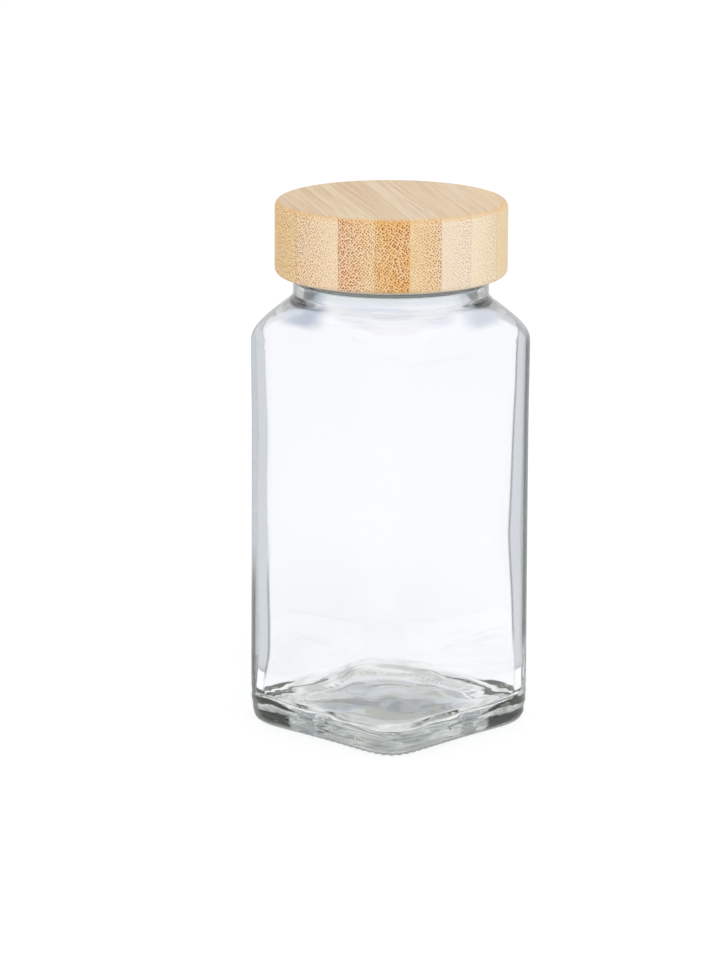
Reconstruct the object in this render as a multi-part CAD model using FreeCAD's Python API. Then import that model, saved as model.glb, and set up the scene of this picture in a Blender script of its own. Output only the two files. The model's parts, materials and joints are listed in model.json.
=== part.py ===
"""Square glass spice jar with a turned bamboo screw lid. Millimetres, +Z up.

The origin is the centre of the base, on the surface that the jar stands on. The jar's flat walls face
along X and Y. Every piece is one solid in its own STEP file.
"""

import FreeCAD
import Part

import math
import os

from FreeCAD import Vector

# Overall size
overall_height = 110.0

# Glass jar: neck, shoulder and square body
glass_wall = 2.3
neck_radius = 20.0
neck_height = 13.2
neck_root_radius = 1.2
rim_round = 0.8
shoulder_fall_deg = 38.5
shoulder_ledge = 2.2
shoulder_blend_radius = 5.0
corner_radius = 7.0
inner_corner_radius = 6.0

# Glass jar: floor and foot
floor_thickness = 4.8
floor_edge_radius = 4.6
heel_radius = 3.2
seam_land = 1.2
seam_step = 0.3
standing_ring = 1.7
base_recess_depth = 1.1

# Shaker insert, a snug plug in the neck with a flange on the rim
shaker_thickness = 1.0
shaker_flange_setback = 0.4
plug_clearance = 0.06
plug_wall = 1.0
plug_depth = 5.0
plug_lead_in = 0.5
shaker_hole_radius = 1.9
shaker_hole_margin = 2.7
shaker_hole_rings = 2
holes_in_first_ring = 6

# Sealing liner, a disc under the roof of the screw insert
liner_thickness = 1.0
liner_edge_gap = 0.3

# Screw insert, a cup glued into the bamboo cap
insert_roof_thickness = 1.2
insert_thread_room = 1.2
insert_wall = 0.9
insert_lip_setback = 0.5
glue_gap = 0.05

# Bamboo cap, glued up from strips and turned
lid_height = 15.2
bamboo_wall = 1.55
bamboo_roof_thickness = 3.6
lid_top_round = 1.5
lid_bottom_round = 1.2
strip_count = 8
first_strip_depth = 1.9
last_strip_depth = 5.6
strip_direction_deg = -33.3

# Working values
overrun = 1.0
edge_tolerance = 0.01
round_limit_share = 0.98

# Places that follow from the sizes above
lid_bottom = overall_height - lid_height
insert_top = overall_height - bamboo_roof_thickness
insert_ceiling = insert_top - insert_roof_thickness
flange_top = insert_ceiling - liner_thickness
rim_top = flange_top - shaker_thickness
shoulder_top = rim_top - neck_height

half_width = neck_radius + shoulder_ledge
inner_half_width = half_width - glass_wall
bore_radius = neck_radius - glass_wall
seam_height = heel_radius + seam_land
foot_half_width = half_width - seam_step
recess_radius = foot_half_width - heel_radius - standing_ring

plug_radius = bore_radius - plug_clearance
plug_bore_radius = plug_radius - plug_wall
insert_bore_radius = neck_radius + insert_thread_room
insert_radius = insert_bore_radius + insert_wall
pocket_radius = insert_radius + glue_gap
lid_radius = pocket_radius + bamboo_wall
strip_width = (2 * lid_radius - first_strip_depth - last_strip_depth) / (strip_count - 2)

# The shoulder is a cone: its slope, and how far below the outer cone the inner one lies
slope = math.tan(math.radians(shoulder_fall_deg))
cone_drop = glass_wall / math.cos(math.radians(shoulder_fall_deg))
inner_shoulder_top = shoulder_top + slope * glass_wall - cone_drop

# The two rounds of the shoulder share the short slope above the middle of a flat wall, and inside the
# glass no round is larger than the corner it runs into
slope_length = shoulder_ledge / math.cos(math.radians(shoulder_fall_deg))
rounds_room = slope_length / math.tan(math.radians((90 - shoulder_fall_deg) / 2))
shoulder_blend = min(shoulder_blend_radius, rounds_room * round_limit_share - neck_root_radius)
inner_shoulder_blend = min(shoulder_blend, inner_corner_radius * round_limit_share)
floor_edge = min(floor_edge_radius, inner_corner_radius * round_limit_share)


def at(radius, z):
    """Point of an outline that is turned about the axis."""
    return Vector(radius, 0, z)


def line(start, end):
    return Part.LineSegment(start, end).toShape()


def arc(centre, radius, start_deg, end_deg):
    """Arc about a point of a turned outline."""
    points = []
    for angle_deg in (start_deg, (start_deg + end_deg) / 2, end_deg):
        angle = math.radians(angle_deg)
        points.append(centre + Vector(radius * math.cos(angle), 0, radius * math.sin(angle)))
    return Part.Arc(*points).toShape()


def outline(points):
    """Closed outline of straight edges."""
    return [line(a, b) for a, b in zip(points, points[1:] + points[:1])]


def turned(edges):
    """Solid turned about the axis, with its seam over a corner of the jar."""
    face = Part.Face(Part.Wire(edges))
    solid = face.revolve(Vector(0, 0, 0), Vector(0, 0, 1), 360)
    solid.rotate(Vector(0, 0, 0), Vector(0, 0, 1), 45)
    return solid


def disc(radius, z_low, z_high):
    return Part.makeCylinder(radius, z_high - z_low, Vector(0, 0, z_low))


def rounded_square(half, radius, z):
    """Closed outline of a square with rounded corners, centred on the axis."""
    flat = half - radius
    diagonal = flat + radius * math.sqrt(0.5)
    edges = []
    for quarter in range(4):
        turn = FreeCAD.Rotation(Vector(0, 0, 1), 90 * quarter)
        start = turn.multVec(Vector(half, -flat, z))
        corner_start = turn.multVec(Vector(half, flat, z))
        corner_middle = turn.multVec(Vector(diagonal, diagonal, z))
        corner_end = turn.multVec(Vector(flat, half, z))
        edges.append(line(start, corner_start))
        edges.append(Part.Arc(corner_start, corner_middle, corner_end).toShape())
    return Part.Wire(edges)


def block(half, radius, z_low, z_high):
    """Upright block with a rounded square section."""
    face = Part.Face(rounded_square(half, radius, z_low))
    return face.extrude(Vector(0, 0, z_high - z_low))


def edges_where(shape, test):
    """Edges of a shape with every sampled point passing a test."""
    real = [edge for edge in shape.Edges if not edge.Degenerated]
    return [edge for edge in real if all(test(p) for p in edge.discretize(5))]


def round_edges_at(shape, z, radius):
    """Round the edges that lie in one level plane."""
    level = edges_where(shape, lambda p: abs(p.z - z) < edge_tolerance)
    return shape.makeFillet(radius, level)


def cut_shoulder(square_block, top_radius, cone_top, half, z_low, z_high, blend):
    """Turn a square block down to a conical shoulder and a round neck, and blend the edges between."""
    far = half * 2
    cone_foot = cone_top - slope * (far - top_radius)
    blank = turned(outline([
        at(0, z_low),
        at(far, z_low),
        at(far, cone_foot),
        at(top_radius, cone_top),
        at(top_radius, z_high),
        at(0, z_high),
    ]))
    body = square_block.common(blank)

    def where_wall_meets_cone(p):
        radius = math.hypot(p.x, p.y)
        off_cone = cone_top - slope * (radius - top_radius) - p.z
        return abs(off_cone) < edge_tolerance and radius > half - edge_tolerance

    body = body.makeFillet(blend, edges_where(body, where_wall_meets_cone))
    return round_edges_at(body, cone_top, neck_root_radius)


def jar_outside():
    """Square body, shoulder and neck above the mould seam, on a slightly smaller foot."""
    upper = block(half_width, corner_radius, seam_height, rim_top)
    upper = cut_shoulder(upper, neck_radius, shoulder_top, half_width, seam_height, rim_top, shoulder_blend)
    upper = round_edges_at(upper, rim_top, rim_round)
    foot = block(foot_half_width, corner_radius - seam_step, 0, seam_height)
    foot = round_edges_at(foot, 0, heel_radius)
    return upper.fuse(foot)


def jar_inside():
    """Space inside the glass, open at the mouth."""
    low, top = floor_thickness, rim_top + overrun
    space = block(inner_half_width, inner_corner_radius, low, top)
    space = cut_shoulder(space, bore_radius, inner_shoulder_top, inner_half_width, low, top, inner_shoulder_blend)
    return round_edges_at(space, low, floor_edge)


def base_recess():
    """Shallow dome pressed up into the underside, inside the ring that the jar stands on."""
    dome_radius = (recess_radius ** 2 + base_recess_depth ** 2) / (2 * base_recess_depth)
    dome = Part.makeSphere(dome_radius, Vector(0, 0, base_recess_depth - dome_radius))
    return dome.common(disc(recess_radius + overrun, 0, base_recess_depth + overrun))


def glass_jar():
    glass = jar_outside().cut(jar_inside()).cut(base_recess())

    def on_mouth(p):
        off_bore = math.hypot(p.x, p.y) - bore_radius
        return abs(p.z - rim_top) < edge_tolerance and abs(off_bore) < edge_tolerance

    return glass.makeFillet(rim_round, edges_where(glass, on_mouth))


def shaker_holes():
    """Rings of round holes about one in the middle."""
    reach = plug_bore_radius - shaker_hole_margin - shaker_hole_radius
    pitch = reach / shaker_hole_rings
    places = [Vector(0, 0, 0)]
    for ring_number in range(1, shaker_hole_rings + 1):
        count = holes_in_first_ring * ring_number
        for k in range(count):
            angle = 2 * math.pi * k / count
            places.append(Vector(math.cos(angle), math.sin(angle), 0) * (pitch * ring_number))
    depth = shaker_thickness + 2 * overrun
    start = Vector(0, 0, rim_top - overrun)
    return [Part.makeCylinder(shaker_hole_radius, depth, place + start) for place in places]


def shaker_insert():
    """Perforated disc with a flange on the rim and a plug wall inside the neck."""
    plug_foot = rim_top - plug_depth
    body = turned(outline([
        at(0, rim_top),
        at(plug_bore_radius, rim_top),
        at(plug_bore_radius, plug_foot),
        at(plug_radius - plug_lead_in, plug_foot),
        at(plug_radius, plug_foot + plug_lead_in),
        at(plug_radius, rim_top),
        at(neck_radius - shaker_flange_setback, rim_top),
        at(neck_radius - shaker_flange_setback, flange_top),
        at(0, flange_top),
    ]))
    return body.cut(shaker_holes())


def seal_liner():
    return disc(insert_bore_radius - liner_edge_gap, flange_top, insert_ceiling)


def screw_insert():
    """Cup with a roof, open below, whose bore passes over the neck."""
    cup = disc(insert_radius, lid_bottom + insert_lip_setback, insert_top)
    return cup.cut(disc(insert_bore_radius, lid_bottom, insert_ceiling))


def bamboo_cap():
    """The whole turned cap, before it is parted into its strips."""
    bottom_round = min(lid_bottom_round, bamboo_wall * round_limit_share)
    top_centre = at(lid_radius - lid_top_round, overall_height - lid_top_round)
    bottom_centre = at(lid_radius - bottom_round, lid_bottom + bottom_round)
    return turned([
        line(at(0, insert_top), at(pocket_radius, insert_top)),
        line(at(pocket_radius, insert_top), at(pocket_radius, lid_bottom)),
        line(at(pocket_radius, lid_bottom), at(lid_radius - bottom_round, lid_bottom)),
        arc(bottom_centre, bottom_round, -90, 0),
        line(at(lid_radius, lid_bottom + bottom_round), at(lid_radius, overall_height - lid_top_round)),
        arc(top_centre, lid_top_round, 0, 90),
        line(at(lid_radius - lid_top_round, overall_height), at(0, overall_height)),
        line(at(0, overall_height), at(0, insert_top)),
    ])


def strip_seams():
    """Distances of the glue lines from the axis, square to the strips."""
    first_seam = first_strip_depth - lid_radius
    return [first_seam + strip_width * k for k in range(strip_count - 1)]


def bamboo_strips():
    """The turned cap parted along its glue lines, from one side to the other."""
    cap = bamboo_cap()
    far = lid_radius + overrun
    limits = [-far] + strip_seams() + [far]
    strips = []
    for low, high in zip(limits, limits[1:]):
        corner = Vector(-far, low, lid_bottom - overrun)
        slab = Part.makeBox(2 * far, high - low, lid_height + 2 * overrun, corner)
        slab.rotate(Vector(0, 0, 0), Vector(0, 0, 1), strip_direction_deg)
        strips.append(cap.common(slab))
    return strips


def write(name, shape):
    shape = shape.removeSplitter()
    solid = shape.Solids[0]
    print(name, "solids", len(shape.Solids), "valid", solid.isValid(), "mm3", round(solid.Volume, 1))
    solid.exportStep(os.path.join("parts", name + ".step"))


os.makedirs("parts", exist_ok=True)
write("glass_jar", glass_jar())
write("shaker_insert", shaker_insert())
write("seal_liner", seal_liner())
write("screw_insert", screw_insert())
for number, strip in enumerate(bamboo_strips(), start=1):
    write("bamboo_strip_%d" % number, strip)
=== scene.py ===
import json
import math

import bpy
import numpy as np
from mathutils import Matrix, Vector

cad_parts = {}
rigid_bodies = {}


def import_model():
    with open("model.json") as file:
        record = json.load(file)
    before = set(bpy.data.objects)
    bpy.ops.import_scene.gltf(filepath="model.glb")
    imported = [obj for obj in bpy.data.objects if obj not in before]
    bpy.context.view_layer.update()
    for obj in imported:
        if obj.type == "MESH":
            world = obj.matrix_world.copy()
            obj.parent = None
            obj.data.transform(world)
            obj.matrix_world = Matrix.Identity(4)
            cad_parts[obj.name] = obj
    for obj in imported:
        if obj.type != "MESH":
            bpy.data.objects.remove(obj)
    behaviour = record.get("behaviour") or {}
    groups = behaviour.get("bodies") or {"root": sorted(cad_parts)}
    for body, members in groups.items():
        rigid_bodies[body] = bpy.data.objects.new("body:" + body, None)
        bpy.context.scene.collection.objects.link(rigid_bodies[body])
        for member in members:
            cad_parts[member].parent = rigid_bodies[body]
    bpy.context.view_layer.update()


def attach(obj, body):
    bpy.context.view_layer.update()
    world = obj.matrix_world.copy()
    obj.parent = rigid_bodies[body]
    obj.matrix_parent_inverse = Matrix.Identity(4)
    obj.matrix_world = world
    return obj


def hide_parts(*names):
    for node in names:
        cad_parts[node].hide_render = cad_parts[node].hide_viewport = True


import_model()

scene = bpy.context.scene
MM = 0.001
WHITE = (1, 1, 1, 1)

# Glass jar, as in the solid model, in millimetres
GLASS_WALL = 2.3
NECK_RADIUS = 20.0
RIM_TOP = 103.2
RIM_ROUND = 0.8
SHOULDER_TOP = 90.0
SHOULDER_FALL = math.radians(38.5)
HALF_WIDTH = 22.2
CORNER_RADIUS = 7.0
FLOOR_THICKNESS = 4.8
HEEL_RADIUS = 3.2
SEAM_HEIGHT = 4.4
SEAM_STEP = 0.3
RECESS_RADIUS = 17.0
RECESS_DEPTH = 1.1

# Glass jar, the fine forms of blown glass, in millimetres, and in radians up the round of the heel
SHOULDER_BLEND = 2.8
SHOULDER_WALL = 1.4
INNER_SHOULDER_BLEND = 1.8
NECK_ROOT_BLEND = 1.2
SEAM_ROUND = 0.9
FLOOR_EDGE_RADIUS = 3.0
FLOOR_DOME = 0.7
BEAD_HEIGHT = 0.7
BEAD_WIDTH = 2.2
BEAD_MIDDLE = 94.4
KNURL_PITCH = 1.66
KNURL_DEPTH = 0.2
KNURL_INNER_SHARE = 0.3
KNURL_FADE_ANGLES = (0.25, 0.95)

# Squareness of the jar as a power: 2 is a circle, a higher one is closer to a square
OUTER_SQUARENESS = 7.2
INNER_SQUARENESS = 8.0

# Extra glass inside the corners: angle, then depth at top, middle and foot, and the heights they hold at
CORNER_FILL = [(45, 0.0, 0.9, 0.1), (135, 0.3, 0.5, 0.5), (225, 0.2, 0.8, 0.7), (315, 0.3, 0.5, 0.4)]
CORNER_FILL_REACH = math.radians(24)
CORNER_FILL_HEIGHTS = (8, 14, 40, 66, 82, 88)
CORNER_FILL_MIDDLE_SHARE = 0.6

# Unevenness: depths and wave lengths in millimetres. A zone is the heights where it starts, is full, fades
# and ends. A floor bend is how far the crests bend, in radians, and over what length
WALL_SAG = 0.1
SAG_ZONE = (SEAM_HEIGHT, 62, 64, 80)
INNER_RIPPLE = 0.2
INNER_RIPPLE_ZONE = (8, 16, 76, 84)
SLOW_WAVE = 46
SLOW_PHASE = 0.4
SLOW_SHARE = 0.55
FAST_WAVE = 21
FAST_TURNS = 2
FAST_PHASE = 1.1
FAST_SHARE = 0.25
SPIRAL_COUNT = 5
SPIRAL_RISE = 9
SPIRAL_SHARE = 0.2
SHOULDER_RIPPLE = 0.05
SHOULDER_RIPPLE_ZONE = (77, 81, 89, 92)
SHOULDER_WAVE = 2.6
SHOULDER_SPIRAL_COUNT = 3
SHOULDER_SPIRAL_RISE = 2
SHOULDER_EVEN_SHARE = 0.6
HEEL_RIPPLE = 0.14
HEEL_RIPPLE_ZONE = (0.6, 2.5, 6, 11)
HEEL_WAVE = 2.3
HEEL_FINE_WAVE = 1.1
HEEL_FINE_SHARE = 0.5
FLOOR_RIPPLE = 0.35
FLOOR_WAVE_X = 2.1
FLOOR_WAVE_Y = 2.6
FLOOR_WAVE_FINE = 1.5
FLOOR_BEND_X = (1.3, 3.4)
FLOOR_BEND_Y = (1.1, 4.1)
FLOOR_PHASE = 0.8
FLOOR_FINE_PHASE = 0.5
FLOOR_FINE_SHARE = 0.6
FLOOR_EDGE_RIPPLE = 0.09
FOLD_RATE = 6.5

# How the crests of these waves bend on their way round: rows of (bend, waves round the jar, phase)
SLOW_BEND = [(1.4, 1, 0.6)]
SHOULDER_BEND = [(1.3, 2, 0.5)]
HEEL_BEND = [(2.2, 3, 1), (1.3, 7, 0)]
HEEL_FINE_BEND = [(3.1, 4, 2), (1, 13, 0)]
FOLD_BEND = [(1.2, 5, 0.4), (0.7, 11, 0)]

# Screw thread, on the neck and in the insert
THREAD_PITCH = 4.23
THREAD_START = 96.2
THREAD_TURNS = 1.2
THREAD_HEIGHT = 0.95
THREAD_WIDTH = 2.0
THREAD_FLANK_SHARE = 1 / 3
THREAD_FADE = math.radians(25)
INSERT_THREAD_HEIGHT = 0.7
INSERT_THREAD_WIDTH = 1.6

# Screw insert
INSERT_RADIUS = 22.1
INSERT_BORE = 21.2
INSERT_LIP = 95.3
INSERT_CEILING = 105.2
INSERT_TOP = 106.4
INSERT_EDGE = 0.25

# Mesh fineness, and the heights of the rings as rows of (from, to, how many)
FLAT_STEPS = 62
CORNER_STEPS = 26
ROUND_STEPS = 8
INSERT_STEPS = 48
POINT_RADIUS = 1e-6
INNER_DROP = (SHOULDER_WALL - GLASS_WALL * math.sin(SHOULDER_FALL)) / math.cos(SHOULDER_FALL)
INNER_CONE_TOP = SHOULDER_TOP - INNER_DROP
FLOOR_EDGE_TOP = FLOOR_THICKNESS + FLOOR_EDGE_RADIUS
OUTER_LEVELS = [
    (SEAM_HEIGHT + 1.2, 11, 16),
    (12, SHOULDER_TOP - 12.5, 14),
    (SHOULDER_TOP - 12, SHOULDER_TOP + 0.5, 32),
    (SHOULDER_TOP + 0.8, RIM_TOP - RIM_ROUND, 42),
]
INNER_LEVELS = [
    (RIM_TOP - RIM_ROUND - 0.4, INNER_CONE_TOP + 1, 8),
    (INNER_CONE_TOP + 0.7, INNER_CONE_TOP - 11.5, 36),
    (INNER_CONE_TOP - 12, FLOOR_EDGE_TOP + 0.3, 36),
]

# Glass colours: clear, painted dark edge where it is seen along the surface, in depth, and for light passing
# straight through
GLASS_IOR = 1.5
GLASS_CLEAR = (0.972, 0.975, 0.99, 1)
GLASS_EDGE_SHADE = (0.05, 0.055, 0.05, 1)
DEPTH_COLOUR = (0.34, 0.41, 0.43, 1)
DEPTH_DENSITY = 11.0
STRAIGHT_COLOUR = (0.98, 0.985, 0.985, 1)

# Painted shade and painted glints laid on the glass colour at its thick and uneven places
BASE_SHADE = (0.90, 0.905, 0.88, 1)
FOOT_SHADE = (0.50, 0.52, 0.48, 1)
FLOOR_SHADE_COOL = (0.455, 0.50, 0.565, 1)
FLOOR_SHADE_WARM = (0.47, 0.465, 0.375, 1)
CORNER_SHADE = (0.003, 0.004, 0.002, 1)
CORNER_PAINTED_GLINT = (0.22, 0.24, 0.12, 1)
PETAL_SHADE = (0.47, 0.52, 0.62, 1)
NECK_SHADE = (0.76, 0.79, 0.81, 1)
NECK_SPOT_SHADE = (0.26, 0.28, 0.26, 1)
SHOULDER_STREAK_SHADE = (0.78, 0.81, 0.88, 1)
BEAD_SHADE = (0.42, 0.44, 0.43, 1)

# Light caught inside the glass: how many reflections it is held for, and its colour when it leaves
WALL_LIMIT = 0.5
THICK_LIMIT = 3.5
WALL_CAUGHT = (0.60, 0.63, 0.66, 1)
BASE_CAUGHT = (0.50, 0.54, 0.59, 1)
BASE_CAUGHT_WARM = (0.60, 0.58, 0.46, 1)
CORNER_CAUGHT = (0.06, 0.07, 0.05, 1)
NECK_CAUGHT = (0.14, 0.15, 0.13, 1)
CAUGHT_AGAIN = (0.97, 0.97, 0.97, 1)

# Heights in the glass, in millimetres: two for a change, four where a band starts, is full, fades and ends
BASE_FADE = (8, 13)
NECK_RISE = (86, 89)
COLLAR_RISE = (90, 92.5)
FOOT_FADE = (4.6, 6.2)
FLOOR_FADE = (7, 9)
FLOOR_CLEAR = (8, 11)
PETAL_BAND = (85.2, 86.8, 89.4, 90.8)
SPOT_BAND = (90.4, 91.6, 92.4, 93.2)
SHOULDER_STREAK_BAND = (87, 88, 91.5, 93)
BEAD_BAND = (BEAD_MIDDLE - 1.6, BEAD_MIDDLE - 0.4, BEAD_MIDDLE, BEAD_MIDDLE + 1.2)
RIGHT_EDGE_RISE = (12, 20)
RIGHT_EDGE_FADE = (80, 84)
LEFT_EDGE_FADE = (28, 42)
SHOULDER_EDGE_RISE = (82, 86)
EDGE_END = (88, 91)
LOWER_STREAK = (0.9, 1.4, 3.7, 4.1)
UPPER_STREAK_FOOT = (4.9, 5.2)
UPPER_STREAK_TOPS = (4.9, 6.9)
UPPER_STREAK_EDGE = (0, 0.4)

# Distances in the glass, in millimetres: out from the axis, as half a width, and to the left or right
FOOT_OUT = (12, 17)
OUTER_SKIN = (19.8, 20.4)
STREAK_SKIN = (20.2, 20.6)
SIDE_SPAN = (-5, 5)
STREAK_WARP = 2.0

# Places round the glass, as the sine of twice the angle: 1 at two corners, -1 at the other two
PETAL_SWING = (-0.3, 0.3, 0.6, 1.0)
SPOT_SWING = (0.25, 0.5, 0.6, 0.85)
SHOULDER_STREAK_SWING = (-0.6, 0.1)
EDGE_SWING = (0.5, 0.9)
CAUGHT_SWING = (0.25, 0.7)
LOWER_STREAK_SWING = (0.46, 0.58)
UPPER_STREAK_SWING = (0.1, 1.0)
STREAK_TURN_SHARE = 0.25

# Painted dark edge, from square on (0) to along the surface (1), and its share in some places
WALL_EDGE = (0.6, 0.9)
BASE_EDGE = (0.45, 0.8)
WIDE_EDGE = (0.44, 0.57)
RIGHT_SHOULDER_SHARE = 0.6
SHOULDER_EDGE_SHARE = 0.3
PETAL_RIGHT_SHARE = 0.65
PETAL_EVEN_SHARE = 0.35

# Noises in the glass: waves per metre along each axis and detail, and the spans of their values that show
STREAKS = ((90, 90, 900), 3.0)
MOTTLE = ((130, 130, 380), 2.0)
PATCHES = ((160, 160, 160), 3.0)
CORNER_WAVES = ((170, 170, 260), 2.0)
CORNER_LINES = ((200, 200, 900), 3.0)
SHOULDER_STREAK_SPAN = (0.5, 0.64)
FOOT_SPAN = (0.42, 0.62)
PETAL_SPAN = (0.3, 0.6)
WARM_SPAN = (0.4, 0.62)
PATCH_SPAN = (0.4, 0.6)
GLINT_SPAN = (0.58, 0.7)

# Bamboo strips, in millimetres
STRIP_DIRECTION = math.radians(-33.3)
STRIP_WIDTH = 6.65
FIRST_SEAM = -21.8
LID_RADIUS = 23.7

# Bamboo: its colours, and the dots that the fibre ends make, with radii as shares of their spacing
BAMBOO_PALE = (0.93, 0.78, 0.57, 1)
BAMBOO_DOT = (0.25, 0.045, 0.002, 1)
BAMBOO_STREAK = (0.66, 0.44, 0.28, 1)
BAMBOO_EDGE = (0.78, 0.44, 0.14, 1)
DOTS_PER_MM = 1.95
DOT_RANDOMNESS = 0.55
DOT_RADIUS_SHARES = (0.12, 0.33)
DOT_EDGE = (-0.05, 0.04)
DOT_ROWS = math.radians(35)
DOT_STRENGTH = (0.55, 1)
DOT_STRENGTH_BY_DENSITY = (0.15, 1)

# Bamboo: streaks and clouds, in waves per millimetre along each axis and detail, and where they show
CLOUD = ((0.02, 0.35, 0.3), 3.0)
CLOUD_SPAN = (0.3, 0.7)
CLOUD_SHARE = 0.3
STREAK_WAVES = (0.03, 1.3, 1.3)
STREAK_DETAIL = 4.0
STREAK_ROUGHNESS = 0.65
STREAK_SHIFT = 3.1
STREAK_SPAN = (0.42, 0.66)
STREAK_BY_DENSITY = (0.25, 1)
CUT_FACING = (0.6, 0.92)
EDGE_FACING = (0.15, 0.6, 0.75, 0.99)
EDGE_SHARE = 0.35
GLUE_LINE = (0.03, 0.12)
GLUE_SHARE = 0.4
BAMBOO_GLOSS_SPAN = (0.3, 0.7)
BAMBOO_ROUGHNESS = (0.5, 0.62)
BAMBOO_SPECULAR = 0.3
BAMBOO_BUMP = 0.35
BAMBOO_BUMP_DEPTH = 0.03

# For each strip: colour of its fibre ends at left and right, density of dots there, colour along the grain
STRIP_LOOKS = [
    ((0.95, 0.59, 0.20, 1), (0.98, 0.71, 0.36, 1), 0.95, 0.75, (0.754, 0.594, 0.385, 1)),
    ((0.99, 0.73, 0.445, 1), (0.94, 0.735, 0.51, 1), 0.78, 0.50, (0.754, 0.594, 0.395, 1)),
    ((0.92, 0.58, 0.345, 1), (0.905, 0.643, 0.33, 1), 1.00, 0.70, (0.783, 0.632, 0.424, 1)),
    ((0.87, 0.535, 0.2, 1), (0.875, 0.505, 0.185, 1), 0.80, 1.00, (0.745, 0.575, 0.376, 1)),
    ((0.86, 0.61, 0.305, 1), (0.885, 0.65, 0.39, 1), 0.54, 0.74, (0.792, 0.642, 0.443, 1)),
    ((0.88, 0.735, 0.55, 1), (0.935, 0.785, 0.61, 1), 0.38, 0.60, (0.773, 0.604, 0.404, 1)),
    ((0.94, 0.80, 0.59, 1), (0.95, 0.77, 0.55, 1), 0.40, 0.60, (0.792, 0.632, 0.433, 1)),
    ((0.92, 0.71, 0.435, 1), (0.90, 0.68, 0.395, 1), 0.48, 0.48, (0.811, 0.632, 0.404, 1)),
]

# Plastics: name, colour, roughness and grain in millimetres
INSERT_PLASTIC = ("insert_plastic", (0.84, 0.84, 0.81, 1), 0.35, 0.5)
SHAKER_PLASTIC = ("shaker_plastic", (0.86, 0.86, 0.83, 1), 0.4, 0.6)
LINER_FOAM = ("liner_foam", (0.80, 0.80, 0.77, 1), 0.8, 0.25)
PLASTIC_SLOW_GRAIN = 9
PLASTIC_DETAIL = 2.0
PLASTIC_SPAN = (0.3, 0.7)
PLASTIC_DARKER_SHARE = 0.94
PLASTIC_SMOOTHER = 0.05
PLASTIC_ROUGHER = 0.08
PLASTIC_SPECULAR = 0.45
PLASTIC_BUMP = 0.25
PLASTIC_BUMP_DEPTH = 0.02

# Camera, fitted to the photograph's outlines, in millimetres, radians and pixels
CAMERA_AZIMUTH = 0.7584
CAMERA_DISTANCE = 974.1
CAMERA_HEIGHT = 283.1
CAMERA_YAW = 0.0063
CAMERA_PITCH = 0.2335
CAMERA_ROLL = 0.0043
FOCAL_PIXELS = 4874.9
LONG_SIDE_PIXELS = 960
SENSOR_MM = 36.0

# Studio, in metres
FLOOR_HALF_SIZE = 6.0
FLOOR_COLOUR = (0.9, 0.9, 0.9, 1)
FLOOR_NEAR_FAR = (0.03, 0.13)
FLOOR_LIFT_NEAR_FAR = (0.18, 0.265)
FLOOR_LIFT_THROUGH = 0.27
LIGHT_LEVEL = 0.8
KEY_PLACE = (0.9, -0.6, 1.2)
KEY_AIM = (0, 0, 0.06)
KEY_SIZE = 0.9
KEY_POWER = 6.0


def smooth_min(a, b, width):
    """The smaller of two values, with the change-over rounded."""
    near = np.maximum(width - np.abs(a - b), 0) / width
    return np.minimum(a, b) - near * near * width / 4


def smooth_max(a, b, width):
    return -smooth_min(-a, -b, width)


def smooth_step(low, high, value):
    t = np.clip((value - low) / (high - low), 0, 1)
    return t * t * (3 - 2 * t)


def zone(z, heights):
    """1 inside a zone of heights and 0 away from it, with smooth change-overs."""
    start, full, fading, end = heights
    return smooth_step(start, full, z) * (1 - smooth_step(fading, end, z))


def column_angles():
    """Angles of the mesh columns about the axis, closer together over the rounded corners."""
    flat = HALF_WIDTH - CORNER_RADIUS
    quarter = [math.atan2(y, HALF_WIDTH) for y in np.linspace(-flat, flat, FLAT_STEPS, endpoint=False)]
    for turn in np.linspace(0, math.pi / 2, CORNER_STEPS, endpoint=False):
        x = flat + CORNER_RADIUS * math.cos(turn)
        y = flat + CORNER_RADIUS * math.sin(turn)
        quarter.append(math.atan2(y, x))
    return np.array([a + k * math.pi / 2 for k in range(4) for a in quarter])


ANGLES = column_angles()
EVEN = np.ones_like(ANGLES)


def even_radius(half, squareness):
    """Distance from the axis to an even curve between a circle and a square, at each column."""
    c, s = np.abs(np.cos(ANGLES)), np.abs(np.sin(ANGLES))
    return half / (c ** squareness + s ** squareness) ** (1 / squareness)


def levels(rows):
    """Heights of mesh rings, from rows of (from, to, how many)."""
    return np.concatenate([np.linspace(*row) for row in rows])


def wave(z, length, shift):
    """Wave up the jar, with its crests shifted at each column."""
    return np.sin(2 * math.pi * z / length + shift)


def bend(rows):
    """Shift of a wave's crests at each column, from rows of (amount, waves round the jar, phase)."""
    return sum(amount * np.sin(count * ANGLES + phase) for amount, count, phase in rows)


def thread_ridge(z, height, width, rise):
    """How far a screw thread stands out at height z, at each column. The thread is right-handed."""
    ridge = np.zeros_like(ANGLES)
    end = 2 * math.pi * THREAD_TURNS
    for turn in range(-1, int(THREAD_TURNS) + 2):
        angle = ANGLES - ANGLES[0] + 2 * math.pi * turn
        inside = smooth_step(0, THREAD_FADE, angle) * smooth_step(0, THREAD_FADE, end - angle)
        middle = THREAD_START + rise + THREAD_PITCH * angle / (2 * math.pi)
        shape = smooth_step(0, width * THREAD_FLANK_SHARE, width / 2 - np.abs(z - middle))
        ridge = np.maximum(ridge, height * inside * shape)
    return ridge


def floor_ripple(r):
    """Unevenness of the floor inside, at each column."""
    x, y = r * np.cos(ANGLES), r * np.sin(ANGLES)
    amount, length = FLOOR_BEND_X
    waves = np.sin(x / FLOOR_WAVE_X + amount * np.sin(y / length))
    amount, length = FLOOR_BEND_Y
    waves = waves + np.sin(y / FLOOR_WAVE_Y + amount * np.sin(x / length + FLOOR_PHASE))
    waves = waves + FLOOR_FINE_SHARE * np.sin((x + y) / FLOOR_WAVE_FINE + FLOOR_FINE_PHASE)
    return FLOOR_RIPPLE * waves / (2 + FLOOR_FINE_SHARE)


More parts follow.
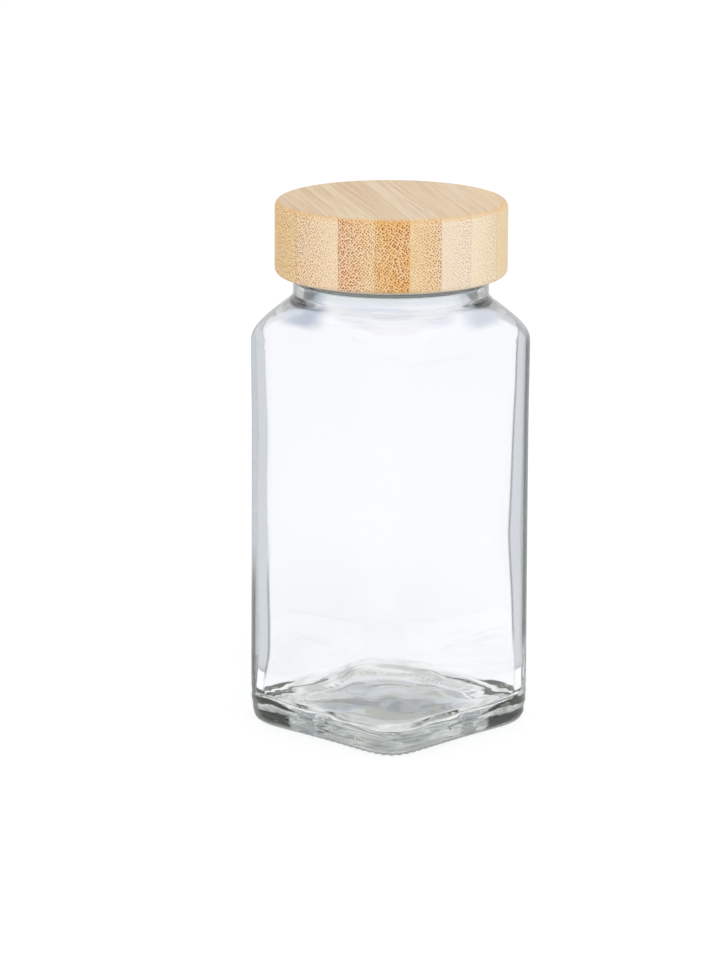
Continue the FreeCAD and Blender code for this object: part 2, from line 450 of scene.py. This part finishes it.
def corner_fill(z):
    """Extra glass inside the corners at height z, at each column."""
    fill = np.zeros_like(ANGLES)
    for corner, top, middle, foot in CORNER_FILL:
        away = np.abs((ANGLES - math.radians(corner) + math.pi) % (2 * math.pi) - math.pi)
        lobe = 1 - smooth_step(0, CORNER_FILL_REACH, away)
        upper = CORNER_FILL_MIDDLE_SHARE * middle + (1 - CORNER_FILL_MIDDLE_SHARE) * top
        fill += lobe * np.interp(z, CORNER_FILL_HEIGHTS, (0, foot, middle, upper, top, 0))
    return fill


def inner_ripple(z):
    """Slow unevenness of the inner wall, none at the floor and the neck, and fine lines in the shoulder."""
    slow = wave(z, SLOW_WAVE, bend(SLOW_BEND) + SLOW_PHASE)
    fast = wave(z, FAST_WAVE, FAST_TURNS * ANGLES + FAST_PHASE)
    spiral = np.sin(SPIRAL_COUNT * ANGLES + z / SPIRAL_RISE)
    wall = SLOW_SHARE * slow + FAST_SHARE * fast + SPIRAL_SHARE * spiral
    patches = np.sin(SHOULDER_SPIRAL_COUNT * ANGLES + z / SHOULDER_SPIRAL_RISE)
    lines = wave(z, SHOULDER_WAVE, bend(SHOULDER_BEND))
    lines = lines * (SHOULDER_EVEN_SHARE + (1 - SHOULDER_EVEN_SHARE) * patches)
    shoulder = SHOULDER_RIPPLE * zone(z, SHOULDER_RIPPLE_ZONE) * lines
    return INNER_RIPPLE * zone(z, INNER_RIPPLE_ZONE) * wall + shoulder


def heel_ripple(z):
    """Streaks that run round the foot of the jar, outside, at each column."""
    waves = wave(z, HEEL_WAVE, bend(HEEL_BEND))
    waves = waves + HEEL_FINE_SHARE * wave(z, HEEL_FINE_WAVE, bend(HEEL_FINE_BEND))
    return HEEL_RIPPLE * zone(z, HEEL_RIPPLE_ZONE) * (1 + waves / (1 + HEEL_FINE_SHARE)) / 2


def shoulder_radius(z, top_radius, cone_top, wall, blend):
    """Distance from the axis to the wall, shoulder or neck at height z, at each column."""
    cone = top_radius + (cone_top - z) / math.tan(SHOULDER_FALL)
    cone = smooth_max(np.array(cone), np.array(top_radius), NECK_ROOT_BLEND)
    return smooth_min(wall, cone, blend)


def standing_edge():
    """Distance from the axis to the outer edge of the ring that the jar stands on, at each column."""
    return even_radius(HALF_WIDTH, OUTER_SQUARENESS) - SEAM_STEP - HEEL_RADIUS


def knurl(strength):
    """Depth of the fine grooves round the edge that the jar stands on, at each column."""
    r = standing_edge()
    x, y = r * np.cos(ANGLES), r * np.sin(ANGLES)
    steps = np.hypot(np.diff(x, append=x[:1]), np.diff(y, append=y[:1]))
    place = np.concatenate([[0], np.cumsum(steps)[:-1]])
    count = round(steps.sum() / KNURL_PITCH)
    return strength * KNURL_DEPTH * (1 - np.cos(2 * math.pi * count * place / steps.sum())) / 2


def underside_rings():
    """From the middle of the underside out to the ring that the jar stands on."""
    dome = (RECESS_RADIUS ** 2 + RECESS_DEPTH ** 2) / (2 * RECESS_DEPTH)
    rings = []
    for share in np.linspace(0, 1, 2 * ROUND_STEPS):
        r = RECESS_RADIUS * share
        rings.append((r * EVEN, (math.sqrt(dome ** 2 - r ** 2) - dome + RECESS_DEPTH) * EVEN))
    width = standing_edge() - RECESS_RADIUS
    for share in np.linspace(0, 1, ROUND_STEPS)[1:-1]:
        groove = knurl(smooth_step(KNURL_INNER_SHARE, 1, share))
        rings.append((RECESS_RADIUS + width * share, groove))
    return rings


def heel_rings():
    """The rounded heel, with the grooves fading out, and the step at the mould seam."""
    outer = even_radius(HALF_WIDTH, OUTER_SQUARENESS)
    rings = []
    for t in np.linspace(0, math.pi / 2, 2 * ROUND_STEPS):
        inset = SEAM_STEP + HEEL_RADIUS * (1 - math.sin(t))
        groove = knurl(1 - smooth_step(*KNURL_FADE_ANGLES, t))
        z = HEEL_RADIUS * (1 - math.cos(t))
        r = outer - inset - groove * math.sin(t) - heel_ripple(z)
        rings.append((r, z + groove * math.cos(t)))
    for share in np.linspace(0, 1, ROUND_STEPS):
        inset = SEAM_STEP * (1 - smooth_step(0, 1, share))
        z = SEAM_HEIGHT + SEAM_ROUND * (2 * share - 1)
        rings.append((outer - inset - heel_ripple(z), z * EVEN))
    return rings


def outer_rings():
    """Wall, shoulder and neck, outside."""
    rings = []
    for z in levels(OUTER_LEVELS):
        wall = even_radius(HALF_WIDTH - WALL_SAG * zone(z, SAG_ZONE), OUTER_SQUARENESS)
        r = shoulder_radius(z, NECK_RADIUS, SHOULDER_TOP, wall, SHOULDER_BLEND)
        bead = BEAD_HEIGHT * smooth_step(0, BEAD_WIDTH / 2, BEAD_WIDTH / 2 - abs(z - BEAD_MIDDLE))
        thread = thread_ridge(z, THREAD_HEIGHT, THREAD_WIDTH, 0)
        rings.append((r + bead - heel_ripple(z) + thread, z * EVEN))
    return rings


def rim_rings():
    """The rounded rim, from outside to inside."""
    bore = NECK_RADIUS - GLASS_WALL
    rings = []
    for t in np.linspace(0, math.pi / 2, ROUND_STEPS)[1:]:
        rings.append((NECK_RADIUS - RIM_ROUND * (1 - math.cos(t)), RIM_TOP - RIM_ROUND * (1 - math.sin(t))))
    for t in np.linspace(0, math.pi / 2, ROUND_STEPS):
        rings.append((bore + RIM_ROUND * (1 - math.sin(t)), RIM_TOP - RIM_ROUND * (1 - math.cos(t))))
    return [(r * EVEN, z * EVEN) for r, z in rings]


def inner_rings():
    """Bore, shoulder and wall, inside."""
    bore = NECK_RADIUS - GLASS_WALL
    wall = even_radius(HALF_WIDTH - GLASS_WALL, INNER_SQUARENESS)
    rings = []
    for z in levels(INNER_LEVELS):
        r = shoulder_radius(z, bore, INNER_CONE_TOP, wall, INNER_SHOULDER_BLEND)
        rings.append((r - inner_ripple(z) - corner_fill(z), z * EVEN))
    return rings


def floor_rings():
    """The rounded edge of the floor, with its folds, and the floor to its middle."""
    wall = even_radius(HALF_WIDTH - GLASS_WALL, INNER_SQUARENESS)
    rings = []
    for t in np.linspace(0, math.pi / 2, 3 * ROUND_STEPS):
        folds = FLOOR_EDGE_RIPPLE * np.sin(FOLD_RATE * t + bend(FOLD_BEND)) * math.sin(2 * t)
        r = wall - FLOOR_EDGE_RADIUS * (1 - math.cos(t)) - folds * math.cos(t)
        z = FLOOR_EDGE_TOP - FLOOR_EDGE_RADIUS * math.sin(t) + folds * math.sin(t)
        rings.append((r, z + floor_ripple(r) * smooth_step(0, math.pi / 2, t)))
    edge = wall - FLOOR_EDGE_RADIUS
    for share in np.linspace(1, 0, 2 * ROUND_STEPS)[1:]:
        z = FLOOR_THICKNESS + FLOOR_DOME * smooth_step(0, 1, 1 - share)
        rings.append((edge * share, z + floor_ripple(edge * share)))
    return rings


def ring_mesh(name, rings):
    """Mesh through rings of (radii, heights), one point per column. A ring of no size becomes one point."""
    points, rows = [], []
    for r, z in rings:
        if np.max(r) < POINT_RADIUS:
            rows.append([len(points)] * len(ANGLES))
            points.append((0, 0, z[0] * MM))
            continue
        rows.append(list(range(len(points), len(points) + len(ANGLES))))
        points += list(zip(r * np.cos(ANGLES) * MM, r * np.sin(ANGLES) * MM, z * MM))
    faces = []
    for low, high in zip(rows, rows[1:]):
        for k in range(len(ANGLES)):
            n = (k + 1) % len(ANGLES)
            corners = [low[k], low[n], high[n], high[k]]
            faces.append(list(dict.fromkeys(corners)))
    mesh = bpy.data.meshes.new(name)
    mesh.from_pydata(points, [], faces)
    mesh.shade_smooth()
    obj = bpy.data.objects.new(name, mesh)
    scene.collection.objects.link(obj)
    return obj


class Tree:
    """The shader nodes of a material or world, with short ways to add the common ones."""

    def __init__(self, tree):
        self.nodes = tree.nodes
        self.links = tree.links

    def put(self, socket, value):
        """Set an input to a constant, or link another node's output to it."""
        if isinstance(value, bpy.types.NodeSocket):
            self.links.new(value, socket)
        else:
            socket.default_value = value

    def add(self, kind, inputs=None, **settings):
        """New node with its properties and inputs set."""
        node = self.nodes.new(kind)
        for name, value in settings.items():
            setattr(node, name, value)
        for slot, value in (inputs or {}).items():
            self.put(node.inputs[slot], value)
        return node

    def math(self, operation, *values):
        return self.add("ShaderNodeMath", dict(enumerate(values)), operation=operation).outputs[0]

    def times(self, first, *others):
        for other in others:
            first = self.math("MULTIPLY", first, other)
        return first

    def most(self, first, *others):
        for other in others:
            first = self.math("MAXIMUM", first, other)
        return first

    def ramp(self, value, span, ends=(0, 1)):
        """A value carried smoothly from one span to another."""
        inputs = {"Value": value, "From Min": span[0], "From Max": span[1]}
        inputs.update({"To Min": ends[0], "To Max": ends[1]})
        return self.add("ShaderNodeMapRange", inputs, interpolation_type="SMOOTHSTEP").outputs[0]

    def band(self, value, bounds):
        """1 inside a band of values and 0 away from it, with smooth change-overs."""
        return self.times(self.ramp(value, bounds[:2]), self.ramp(value, bounds[2:], (1, 0)))

    def mix(self, share, first, second):
        """Two colours mixed."""
        return self.add("ShaderNodeMix", {0: share, 6: first, 7: second}, data_type="RGBA").outputs[2]

    def scaled(self, vector, scale):
        return self.add("ShaderNodeVectorMath", {0: vector, 1: scale}, operation="MULTIPLY").outputs[0]

    def turned(self, vector, angle):
        """A vector turned about the vertical."""
        inputs = {"Vector": vector, "Angle": angle}
        return self.add("ShaderNodeVectorRotate", inputs, rotation_type="Z_AXIS").outputs[0]

    def apart(self, vector):
        """The three parts of a vector."""
        return self.add("ShaderNodeSeparateXYZ", {0: vector}).outputs

    def noise(self, vector, detail, roughness=0.5):
        inputs = {"Vector": vector, "Scale": 1.0, "Detail": detail, "Roughness": roughness}
        return self.add("ShaderNodeTexNoise", inputs).outputs[0]

    def grain(self, vector, look):
        """Noise with so many waves along each axis, and so much detail."""
        waves, detail = look
        return self.noise(self.scaled(vector, waves), detail)


def new_material(name):
    material = bpy.data.materials.new(name)
    material.use_nodes = True
    return material, Tree(material.node_tree), material.node_tree.nodes["Principled BSDF"]


def dress(obj, material):
    obj.data.materials.clear()
    obj.data.materials.append(material)


def glass_places(tree):
    """Where a point of the glass is, in millimetres, and the noises that mark it there."""
    coords = tree.add("ShaderNodeTexCoord").outputs["Object"]
    x, y, height = tree.apart(tree.scaled(coords, (1 / MM, 1 / MM, 1 / MM)))
    at = {"coords": coords, "height": height}
    at["swing"] = tree.math("SINE", tree.math("MULTIPLY", tree.math("ARCTAN2", y, x), 2.0))
    at["side"] = tree.ramp(tree.math("ADD", x, y), SIDE_SPAN)
    at["out"] = tree.math("SQRT", tree.math("ADD", tree.times(x, x), tree.times(y, y)))
    powers = [tree.math("POWER", tree.math("ABSOLUTE", way), OUTER_SQUARENESS) for way in (x, y)]
    at["width"] = tree.math("POWER", tree.math("ADD", *powers), 1 / OUTER_SQUARENESS)
    at["base"] = tree.ramp(height, BASE_FADE, (1, 0))
    at["neck"] = tree.ramp(height, NECK_RISE)
    at["thick"] = tree.most(at["base"], at["neck"])
    at["mottle"] = tree.grain(coords, MOTTLE)
    return at


def corner_shade_streaks(tree, at):
    """Where painted shade darkens the heel at two corners, above and below the mould seam."""
    waves = tree.grain(at["coords"], CORNER_WAVES)
    warp = tree.math("MULTIPLY", tree.math("SUBTRACT", waves, 0.5), STREAK_WARP)
    height = tree.math("ADD", at["height"], warp)
    swing = tree.math("ADD", at["swing"], tree.math("MULTIPLY", warp, STREAK_TURN_SHARE))
    lower = tree.times(tree.band(height, LOWER_STREAK), tree.ramp(swing, LOWER_STREAK_SWING))
    top = tree.ramp(swing, UPPER_STREAK_SWING, UPPER_STREAK_TOPS)
    below_top = tree.ramp(tree.math("SUBTRACT", top, height), UPPER_STREAK_EDGE)
    upper = tree.times(tree.ramp(height, UPPER_STREAK_FOOT), below_top)
    return tree.times(tree.most(lower, upper), tree.ramp(at["width"], STREAK_SKIN))


def base_shades(tree, at):
    """Painted shade on the thick base, as (share, colour): its foot, the floor and the dark corners with
    painted glints.
    """
    # painted shade at the foot, mottled darker in places
    foot = tree.times(tree.ramp(at["height"], FOOT_FADE, (1, 0)), tree.ramp(at["out"], FOOT_OUT))
    uneven = tree.times(foot, tree.ramp(at["mottle"], FOOT_SPAN))
    # painted shade on the floor inside, cool and warm in patches
    floor = tree.times(tree.ramp(at["height"], FLOOR_FADE, (1, 0)), tree.ramp(at["out"], FOOT_OUT, (1, 0)))
    patches = tree.ramp(tree.grain(at["coords"], PATCHES), PATCH_SPAN)
    floor_shade_colour = tree.mix(patches, FLOOR_SHADE_COOL, FLOOR_SHADE_WARM)
    # painted shade at two heel corners, with painted glints in it
    glint = tree.ramp(tree.grain(at["coords"], CORNER_LINES), GLINT_SPAN)
    corner_shade_colour = tree.mix(glint, CORNER_SHADE, CORNER_PAINTED_GLINT)
    corners = corner_shade_streaks(tree, at)
    return [(foot, BASE_SHADE), (uneven, FOOT_SHADE), (floor, floor_shade_colour), (corners, corner_shade_colour)]


def shoulder_shades(tree, at):
    """Painted shade on the shoulder and neck, as (share, colour): soft petals, spots, streaks and the bead.
    """
    height, swing = at["height"], at["swing"]
    # painted shade in soft petals on the shoulder, stronger at the left
    petal = tree.times(
        tree.band(swing, PETAL_SWING),
        tree.band(height, PETAL_BAND),
        tree.ramp(at["mottle"], PETAL_SPAN, (PETAL_EVEN_SHARE, 1)),
        tree.ramp(at["side"], (0, 1), (1, PETAL_RIGHT_SHARE)),
    )
    # painted shade spots at the root of the neck
    spot = tree.times(tree.band(swing, SPOT_SWING), tree.band(height, SPOT_BAND))
    # painted shade streaks in the shoulder
    streaks = tree.ramp(tree.grain(at["coords"], STREAKS), SHOULDER_STREAK_SPAN)
    streak_shade = tree.times(tree.band(height, SHOULDER_STREAK_BAND), streaks, tree.ramp(swing, SHOULDER_STREAK_SWING, (1, 0)))
    # painted shade ring on the bead, under the lid
    bead = tree.band(height, BEAD_BAND)
    return [(petal, PETAL_SHADE), (spot, NECK_SPOT_SHADE), (streak_shade, SHOULDER_STREAK_SHADE), (bead, BEAD_SHADE)]


def glass_edge_shade(tree, at):
    """Painted dark edge where the glass is seen along its surface: most at two corners, not in the floor."""
    facing = tree.add("ShaderNodeLayerWeight", {"Blend": 0.5}).outputs["Facing"]
    height, side = at["height"], at["side"]
    right = tree.times(
        side,
        tree.ramp(height, RIGHT_EDGE_RISE),
        tree.ramp(height, RIGHT_EDGE_FADE, (1, RIGHT_SHOULDER_SHARE)),
    )
    left = tree.times(tree.ramp(side, (0, 1), (1, 0)), tree.ramp(height, LEFT_EDGE_FADE, (1, 0)))
    shoulder = tree.ramp(height, SHOULDER_EDGE_RISE, (0, SHOULDER_EDGE_SHARE))
    reach = tree.times(tree.most(right, left, shoulder), tree.ramp(height, EDGE_END, (1, 0)))
    wide = tree.times(tree.ramp(facing, WIDE_EDGE), reach, tree.ramp(at["swing"], EDGE_SWING))
    thick = tree.times(tree.ramp(facing, BASE_EDGE), at["thick"])
    # painted dark edge: the glass darker where it is seen along its surface
    edge = tree.most(tree.ramp(facing, WALL_EDGE), thick, wide)
    off_floor = tree.most(tree.ramp(height, FLOOR_CLEAR), tree.ramp(at["width"], OUTER_SKIN))
    return tree.times(edge, off_floor)


def glass_colour(tree, at):
    """Clear glass with painted shades laid over it one by one, and its painted dark edge."""
    # painted shade on the neck above the collar
    collar = tree.ramp(at["height"], COLLAR_RISE)
    colour = GLASS_CLEAR
    for share, tint in [(collar, NECK_SHADE)] + base_shades(tree, at) + shoulder_shades(tree, at):
        colour = tree.mix(share, colour, tint)
    return tree.mix(glass_edge_shade(tree, at), colour, GLASS_EDGE_SHADE)


def caught_colour(tree, at, path):
    """Colour of the light that was caught inside the glass, where it leaves."""
    warm = tree.ramp(at["mottle"], WARM_SPAN)
    base = tree.mix(warm, BASE_CAUGHT, BASE_CAUGHT_WARM)
    base = tree.mix(tree.ramp(at["swing"], CAUGHT_SWING), base, CORNER_CAUGHT)
    once = tree.mix(at["base"], WALL_CAUGHT, base)
    once = tree.mix(at["neck"], once, NECK_CAUGHT)
    again = tree.ramp(path["Transparent Depth"], (0, 1))
    return tree.mix(again, once, CAUGHT_AGAIN)


def glass_material():
    """Clear glass with a trace of grey-green in its depth. Light from lamps passes straight through.

    Light caught between the faces of a wall leaves it after one reflection, and in the base and the neck
    after four, dimmer for the way it has come.
    """
    material, tree, shader = new_material("glass")
    at = glass_places(tree)
    path = tree.add("ShaderNodeLightPath").outputs
    tree.put(shader.inputs["Base Color"], glass_colour(tree, at))
    tree.put(shader.inputs["Roughness"], 0.0)
    tree.put(shader.inputs["IOR"], GLASS_IOR)
    tree.put(shader.inputs["Transmission Weight"], 1.0)
    lamps = tree.most(path["Is Shadow Ray"], path["Is Diffuse Ray"])
    straight = tree.add("ShaderNodeBsdfTransparent", {"Color": STRAIGHT_COLOUR})
    clear = tree.add("ShaderNodeMixShader", {0: lamps, 1: shader.outputs[0], 2: straight.outputs[0]})
    limit = tree.ramp(at["thick"], (0, 1), (WALL_LIMIT, THICK_LIMIT))
    caught = tree.math("GREATER_THAN", path["Glossy Depth"], limit)
    freed = tree.add("ShaderNodeBsdfTransparent", {"Color": caught_colour(tree, at, path)})
    glass = tree.add("ShaderNodeMixShader", {0: caught, 1: clear.outputs[0], 2: freed.outputs[0]})
    depth = tree.add("ShaderNodeVolumeAbsorption", {"Color": DEPTH_COLOUR, "Density": DEPTH_DENSITY})
    output = tree.nodes["Material Output"]
    tree.put(output.inputs["Surface"], glass.outputs[0])
    tree.put(output.inputs["Volume"], depth.outputs[0])
    return material


def add_bump(tree, shader, height, strength, depth_mm):
    inputs = {"Height": height, "Strength": strength, "Distance": depth_mm * MM}
    tree.put(shader.inputs["Normal"], tree.add("ShaderNodeBump", inputs).outputs[0])


def fibre_ends(tree, place, density):
    """Strength of the dots that the cut fibres make round the side of the lid."""
    along, across, height = tree.apart(place)
    turn = tree.math("ARCTAN2", across, along)
    section = tree.add("ShaderNodeCombineXYZ", {0: tree.math("MULTIPLY", turn, LID_RADIUS), 1: height})
    inputs = {
        "Vector": tree.turned(section.outputs[0], DOT_ROWS),
        "Scale": DOTS_PER_MM,
        "Randomness": DOT_RANDOMNESS,
    }
    dots = tree.add("ShaderNodeTexVoronoi", inputs, feature="F1", voronoi_dimensions="2D").outputs
    radius = tree.ramp(density, (0, 1), DOT_RADIUS_SHARES)
    dot = tree.ramp(tree.math("SUBTRACT", radius, dots["Distance"]), DOT_EDGE)
    chance = tree.add("ShaderNodeSeparateColor", {0: dots["Color"]}).outputs[0]
    strength = tree.ramp(chance, (0, 1), DOT_STRENGTH)
    return tree.times(dot, strength, tree.ramp(density, (0, 1), DOT_STRENGTH_BY_DENSITY))


def fibre_streaks(tree, place, number):
    """Noise drawn out along the fibres, different in each strip."""
    inputs = {0: tree.scaled(place, STREAK_WAVES), 1: (0, STREAK_SHIFT * number, 0)}
    shifted = tree.add("ShaderNodeVectorMath", inputs, operation="ADD").outputs[0]
    return tree.noise(shifted, STREAK_DETAIL, STREAK_ROUGHNESS)


def bamboo_material(number, look):
    """One bamboo strip: fibre ends as dots where the fibres are cut across, streaks where they run along."""
    material, tree, shader = new_material("bamboo_%d" % number)
    left, right, dots_left, dots_right, tone = look
    coords = tree.add("ShaderNodeTexCoord").outputs
    place = tree.scaled(tree.turned(coords["Object"], -STRIP_DIRECTION), (1 / MM, 1 / MM, 1 / MM))
    up = tree.apart(coords["Normal"])[2]
    across = tree.apart(place)[1]
    seam = FIRST_SEAM + STRIP_WIDTH * (number - 2)
    inputs = {"Value": across, "From Min": seam, "From Max": seam + STRIP_WIDTH}
    share = tree.add("ShaderNodeMapRange", inputs).outputs[0]
    density = tree.ramp(share, (0, 1), (dots_left, dots_right))
    dot = fibre_ends(tree, place, density)
    streak = fibre_streaks(tree, place, number)

    cloud = tree.ramp(tree.grain(place, CLOUD), CLOUD_SPAN, (0, CLOUD_SHARE))
    ground = tree.mix(cloud, tree.mix(share, left, right), BAMBOO_PALE)
    ends = tree.mix(dot, ground, BAMBOO_DOT)
    fibre = tree.times(tree.ramp(streak, STREAK_SPAN), tree.ramp(density, (0, 1), STREAK_BY_DENSITY))
    sides = tree.mix(fibre, tone, BAMBOO_STREAK)
    cut = tree.ramp(tree.math("ABSOLUTE", up), CUT_FACING, (1, 0))
    colour = tree.mix(cut, sides, ends)
    colour = tree.mix(tree.times(tree.band(up, EDGE_FACING), EDGE_SHARE), colour, BAMBOO_EDGE)
    from_seam = tree.math("ABSOLUTE", tree.math("SUBTRACT", across, seam))
    colour = tree.mix(tree.ramp(from_seam, GLUE_LINE, (GLUE_SHARE, 0)), colour, BAMBOO_DOT)

    tree.put(shader.inputs["Base Color"], colour)
    tree.put(shader.inputs["Roughness"], tree.ramp(streak, BAMBOO_GLOSS_SPAN, BAMBOO_ROUGHNESS))
    tree.put(shader.inputs["Specular IOR Level"], BAMBOO_SPECULAR)
    relief = tree.math("ADD", tree.times(dot, cut), streak)
    add_bump(tree, shader, tree.times(relief, -1), BAMBOO_BUMP, BAMBOO_BUMP_DEPTH)
    return material


def plastic_material(name, colour, roughness, grain_mm):
    """Moulded plastic: an even colour with a fine mould grain and slow changes in gloss."""
    material, tree, shader = new_material(name)
    coords = tree.add("ShaderNodeTexCoord").outputs["Object"]
    waves = [1 / (length * MM) for length in (grain_mm, PLASTIC_SLOW_GRAIN)]
    grain, slow = [tree.grain(coords, ((w, w, w), PLASTIC_DETAIL)) for w in waves]
    darker = tuple(PLASTIC_DARKER_SHARE * c for c in colour[:3]) + (1,)
    gloss = (roughness - PLASTIC_SMOOTHER, roughness + PLASTIC_ROUGHER)
    tree.put(shader.inputs["Base Color"], tree.mix(tree.ramp(slow, PLASTIC_SPAN), colour, darker))
    tree.put(shader.inputs["Roughness"], tree.ramp(slow, PLASTIC_SPAN, gloss))
    tree.put(shader.inputs["Specular IOR Level"], PLASTIC_SPECULAR)
    add_bump(tree, shader, grain, PLASTIC_BUMP, PLASTIC_BUMP_DEPTH)
    return material


def make_glass():
    rings = underside_rings() + heel_rings() + outer_rings() + rim_rings() + inner_rings() + floor_rings()
    jar = ring_mesh("jar_glass", rings)
    dress(jar, glass_material())
    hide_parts("glass_jar")
    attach(jar, "jar")


def make_insert():
    """The screw insert, with the thread that its bore carries."""
    rings = [(share * (INSERT_RADIUS - INSERT_EDGE), INSERT_TOP) for share in np.linspace(0, 1, ROUND_STEPS)]
    rings += [(INSERT_RADIUS, INSERT_TOP - INSERT_EDGE), (INSERT_RADIUS, INSERT_LIP + INSERT_EDGE)]
    rings += [(INSERT_RADIUS - INSERT_EDGE, INSERT_LIP), (INSERT_BORE + INSERT_EDGE, INSERT_LIP)]
    for z in np.linspace(INSERT_LIP + INSERT_EDGE, INSERT_CEILING - INSERT_EDGE, INSERT_STEPS):
        ridge = thread_ridge(z, INSERT_THREAD_HEIGHT, INSERT_THREAD_WIDTH, THREAD_PITCH / 2)
        rings.append((INSERT_BORE - ridge, z))
    for share in np.linspace(1, 0, ROUND_STEPS):
        rings.append((share * (INSERT_BORE - INSERT_EDGE), INSERT_CEILING))
    insert = ring_mesh("insert_threaded", [(r * EVEN, z * EVEN) for r, z in rings])
    dress(insert, plastic_material(*INSERT_PLASTIC))
    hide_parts("screw_insert")
    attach(insert, "lid")


def dress_lid():
    for number, look in enumerate(STRIP_LOOKS, start=1):
        dress(bpy.data.objects["bamboo_strip_%d" % number], bamboo_material(number, look))


def dress_inner_parts():
    dress(bpy.data.objects["shaker_insert"], plastic_material(*SHAKER_PLASTIC))
    dress(bpy.data.objects["seal_liner"], plastic_material(*LINER_FOAM))


def make_camera():
    heading = CAMERA_AZIMUTH + CAMERA_YAW
    level = math.cos(CAMERA_PITCH)
    forward = Vector((-math.sin(heading) * level, math.cos(heading) * level, -math.sin(CAMERA_PITCH)))
    right = Vector((math.cos(heading), math.sin(heading), 0))
    up = right.cross(forward)
    c, s = math.cos(CAMERA_ROLL), math.sin(CAMERA_ROLL)
    right, up = right * c + up * s, up * c - right * s
    place = Vector((math.sin(CAMERA_AZIMUTH), -math.cos(CAMERA_AZIMUTH), 0)) * CAMERA_DISTANCE * MM
    place.z = CAMERA_HEIGHT * MM
    camera = bpy.data.objects.new("camera", bpy.data.cameras.new("camera"))
    scene.collection.objects.link(camera)
    camera.data.sensor_width = SENSOR_MM
    camera.data.lens = FOCAL_PIXELS * SENSOR_MM / LONG_SIDE_PIXELS
    camera.matrix_world = Matrix.Translation(place) @ Matrix((right, up, -forward)).transposed().to_4x4()
    scene.camera = camera


def floor_material():
    """Matt pale floor, lifted to white where it is looked at, less so close to the jar."""
    material, tree, shader = new_material("floor")
    path = tree.add("ShaderNodeLightPath").outputs
    coords = tree.add("ShaderNodeTexCoord").outputs["Object"]
    away = tree.add("ShaderNodeVectorMath", {0: coords}, operation="LENGTH").outputs["Value"]
    seen = tree.most(path["Is Camera Ray"], path["Is Glossy Ray"])
    lift = tree.times(seen, tree.ramp(away, FLOOR_NEAR_FAR, FLOOR_LIFT_NEAR_FAR))
    through = tree.times(path["Is Transmission Ray"], FLOOR_LIFT_THROUGH)
    tree.put(shader.inputs["Base Color"], FLOOR_COLOUR)
    tree.put(shader.inputs["Roughness"], 1.0)
    tree.put(shader.inputs["Specular IOR Level"], 0.0)
    tree.put(shader.inputs["Emission Color"], WHITE)
    tree.put(shader.inputs["Emission Strength"], tree.most(lift, through))
    return material


def make_floor():
    half = FLOOR_HALF_SIZE
    mesh = bpy.data.meshes.new("floor")
    corners = [(-half, -half, 0), (half, -half, 0), (half, half, 0), (-half, half, 0)]
    mesh.from_pydata(corners, [], [(0, 1, 2, 3)])
    floor = bpy.data.objects.new("floor", mesh)
    scene.collection.objects.link(floor)
    dress(floor, floor_material())


def make_world():
    """Even soft light, shown as white where it is looked at."""
    world = bpy.data.worlds.new("studio")
    scene.world = world
    world.use_nodes = True
    tree = Tree(world.node_tree)
    light = tree.nodes["Background"]
    tree.put(light.inputs["Color"], WHITE)
    tree.put(light.inputs["Strength"], LIGHT_LEVEL)
    white = tree.add("ShaderNodeBackground", {"Color": WHITE, "Strength": 1.0})
    path = tree.add("ShaderNodeLightPath").outputs
    seen = tree.most(path["Is Camera Ray"], path["Is Transmission Ray"], path["Is Glossy Ray"])
    mix = tree.add("ShaderNodeMixShader", {0: seen, 1: light.outputs[0], 2: white.outputs[0]})
    tree.put(tree.nodes["World Output"].inputs["Surface"], mix.outputs[0])


def make_lamp():
    lamp = bpy.data.lights.new("key", "AREA")
    lamp.shape = "DISK"
    lamp.size = KEY_SIZE
    lamp.energy = KEY_POWER
    obj = bpy.data.objects.new("key", lamp)
    obj.location = KEY_PLACE
    obj.rotation_euler = (Vector(KEY_AIM) - Vector(KEY_PLACE)).to_track_quat("-Z", "Y").to_euler()
    obj.visible_transmission = False
    obj.visible_glossy = False
    scene.collection.objects.link(obj)


make_camera()
make_floor()
make_world()
make_lamp()
make_glass()
make_insert()
dress_lid()
dress_inner_parts()
scene.view_settings.view_transform = "Standard"
